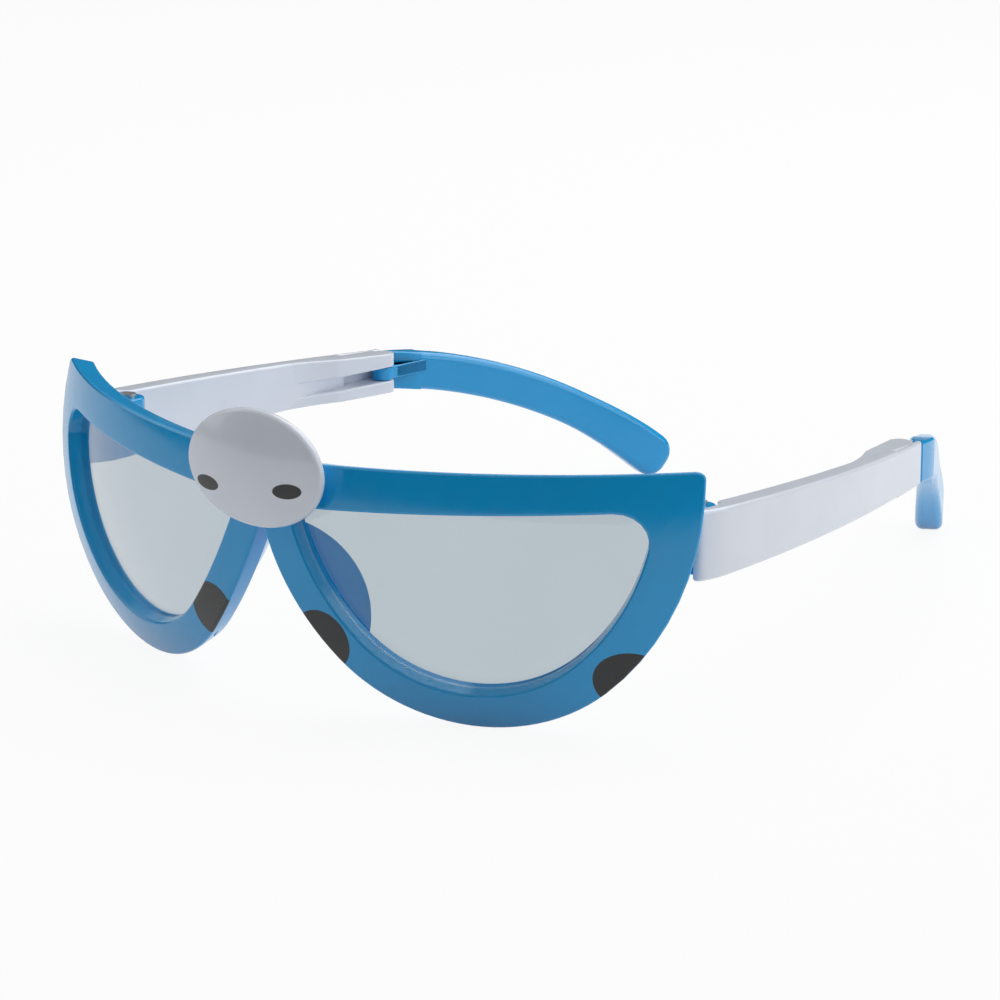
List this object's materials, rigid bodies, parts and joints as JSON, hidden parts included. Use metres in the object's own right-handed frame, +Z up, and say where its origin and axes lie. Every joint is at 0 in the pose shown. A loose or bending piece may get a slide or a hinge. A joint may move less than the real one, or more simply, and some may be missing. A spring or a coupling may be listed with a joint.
{
  "type": "folding 3d glasses",
  "caption": "Children's folding 3D viewing glasses: a wrapped front with round-bottomed rims, grey lenses, an oval badge on the brow, and arms with hinged ear tips.",
  "frame": {"origin": "middle of the object's width and length, on the surface that the rims and the ear tips stand on", "axes": "+X to the wearer's left, +Y to the rear along the arms, +Z up; the front looks along -Y"},
  "size_m": [0.1418, 0.177, 0.0515],
  "materials": {
    "blue_plastic": "glossy moulded",
    "white_plastic": "glossy moulded",
    "lens_film": "clear grey polariser",
    "pin_steel": "plain"
  },
  "bodies": {
    "front": {"front_frame": "blue_plastic", "left_lens": "lens_film", "right_lens": "lens_film", "badge": "white_plastic", "left_frame_pin": "pin_steel", "right_frame_pin": "pin_steel"},
    "left_arm": {"left_arm": "white_plastic", "left_tip_pin": "pin_steel"},
    "right_arm": {"right_arm": "white_plastic", "right_tip_pin": "pin_steel"},
    "left_tip": {"left_tip": "blue_plastic"},
    "right_tip": {"right_tip": "blue_plastic"}
  },
  "joints": [
    {"name": "left_arm_fold", "type": "hinge", "parent": "front", "child": "left_arm", "pos_m": [0.0635, -0.04862, 0.0324], "axis": [0, 0, 1], "range_deg": [-4.5, 76]},
    {"name": "right_arm_fold", "type": "hinge", "parent": "front", "child": "right_arm", "pos_m": [-0.0635, -0.04862, 0.0324], "axis": [0, 0, -1], "range_deg": [0, 48]},
    {"name": "left_tip_fold", "type": "hinge", "parent": "left_arm", "child": "left_tip", "pos_m": [0.05728, 0.02408, 0.0291], "axis": [0, 0, 1], "range_deg": [0, 155]},
    {"name": "right_tip_fold", "type": "hinge", "parent": "right_arm", "child": "right_tip", "pos_m": [-0.06301, 0.02434, 0.0291], "axis": [0, 0, -1], "range_deg": [0, 155]}
  ]
}
